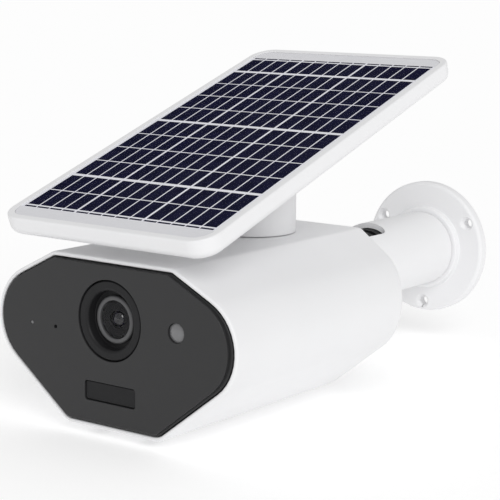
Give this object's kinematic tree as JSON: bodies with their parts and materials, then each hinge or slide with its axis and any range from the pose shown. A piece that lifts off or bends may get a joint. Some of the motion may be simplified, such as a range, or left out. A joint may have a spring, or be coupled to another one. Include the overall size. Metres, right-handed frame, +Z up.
{
  "type": "solar-powered security camera",
  "caption": "Battery security camera on a swivelling wall bracket, with a tilting solar panel carried on a turning post above its six-sided housing.",
  "frame": {"origin": "centre of the wall flange's back face, on the wall plane", "axes": "+Y into the wall, so the camera looks along -Y; +Z up; +X to the right when the camera is seen from the front"},
  "size_m": [0.1358, 0.272, 0.1563],
  "materials": {
    "white_shell": "satin white ABS with a fine mould texture",
    "front_dark": "smoked dark grey plate, half gloss",
    "lens_trim": "dark grey ring, half gloss",
    "barrel_grey": "grey moulded lens barrel",
    "sensor_grey": "clear grey dome",
    "black_plastic": "black, slightly textured",
    "black_rubber": "moulded seal rubber",
    "steel": "stainless fasteners and fittings",
    "brass": "turned insert",
    "lens_glass": "coated lens",
    "panel_glass": "clear laminated cover",
    "cell": "navy polycrystalline silicon with thin silver lines",
    "backsheet": "pale sheet that shows between the cells",
    "board": "green solder mask",
    "battery": "blue film wrap"
  },
  "bodies": {
    "wall_mount": {"wall_flange": "white_shell"},
    "neck": {"neck_sleeve": "white_shell", "neck_end_plug": "steel", "neck_retaining_screw": "steel", "ball_pressure_pad": "black_plastic", "ball_lock_screw": "steel"},
    "stud": {"ball_stud": "black_plastic", "stud_lock_nut": "steel", "stud_washer": "black_rubber"},
    "housing": {"housing_shell": "white_shell", "front_plate": "front_dark", "front_gasket": "black_rubber", "lens_bezel": "lens_trim", "lens_barrel": "barrel_grey", "lens_glass": "lens_glass", "lens_holder": "black_plastic", "image_sensor_board": "board", "pir_window": "black_plastic", "pir_sensor": "steel", "light_sensor_lens": "sensor_grey", "status_led_lens": "sensor_grey", "microphone": "black_plastic", "main_board": "board", "wifi_antenna": "black_plastic", "speaker": "black_plastic", "stud_insert": "brass", "battery_tray": "black_plastic", "battery_1": "battery", "battery_2": "battery", "battery_3": "battery", "battery_4": "battery", "front_screw_left": "steel", "front_screw_right": "steel", "usb_socket": "steel", "card_socket": "steel"},
    "cover": {"service_cover": "white_shell"},
    "card": {"memory_card": "black_plastic"},
    "reset": {"reset_button": "black_plastic"},
    "power": {"power_slider": "black_plastic"},
    "post": {"panel_post": "white_shell", "post_seal": "black_rubber", "post_retaining_nut": "black_plastic", "tilt_bolt": "steel", "tilt_nut": "steel"},
    "panel": {"panel_frame": "white_shell", "panel_back_cover": "white_shell", "panel_backsheet": "backsheet", "panel_glass": "panel_glass", "solar_cell_1_1": "cell", "solar_cell_1_2": "cell", "solar_cell_1_3": "cell", "solar_cell_2_1": "cell", "solar_cell_2_2": "cell", "solar_cell_2_3": "cell", "solar_cell_3_1": "cell", "solar_cell_3_2": "cell", "solar_cell_3_3": "cell", "solar_cell_4_1": "cell", "solar_cell_4_2": "cell", "solar_cell_4_3": "cell"}
  },
  "joints": [
    {"name": "neck_swivel", "type": "hinge", "parent": "wall_mount", "child": "neck", "pos_m": [0, -0.012, 0], "axis": [0, 1, 0], "continuous": true},
    {"name": "ball_tilt", "type": "hinge", "parent": "neck", "child": "stud", "pos_m": [0, -0.072, 0], "axis": [1, 0, 0], "range_deg": [-40, 25]},
    {"name": "camera_roll", "type": "hinge", "parent": "stud", "child": "housing", "pos_m": [0, -0.114, 0], "axis": [0, 1, 0], "range_deg": [-180, 180]},
    {"name": "panel_turn", "type": "hinge", "parent": "housing", "child": "post", "pos_m": [0, -0.163, 0.0281], "axis": [0, 0, 1], "range_deg": [-170, 170]},
    {"name": "panel_tilt", "type": "hinge", "parent": "post", "child": "panel", "pos_m": [0, -0.163, 0.056], "axis": [1, 0, 0], "range_deg": [-38, 0]},
    {"name": "cover_hinge", "type": "hinge", "parent": "housing", "child": "cover", "pos_m": [0, -0.2032, -0.0467], "axis": [1, 0, 0], "range_deg": [0, 90]},
    {"name": "card_slide", "type": "slide", "parent": "housing", "child": "card", "axis": [0, 0, -1], "range_m": [0, 0.003]},
    {"name": "reset_press", "type": "slide", "parent": "housing", "child": "reset", "axis": [0, 0, 1], "range_m": [0, 0.0009], "stiffness_N_per_m": 300},
    {"name": "power_slide", "type": "slide", "parent": "housing", "child": "power", "axis": [1, 0, 0], "range_m": [0, 0.0045]}
  ]
}
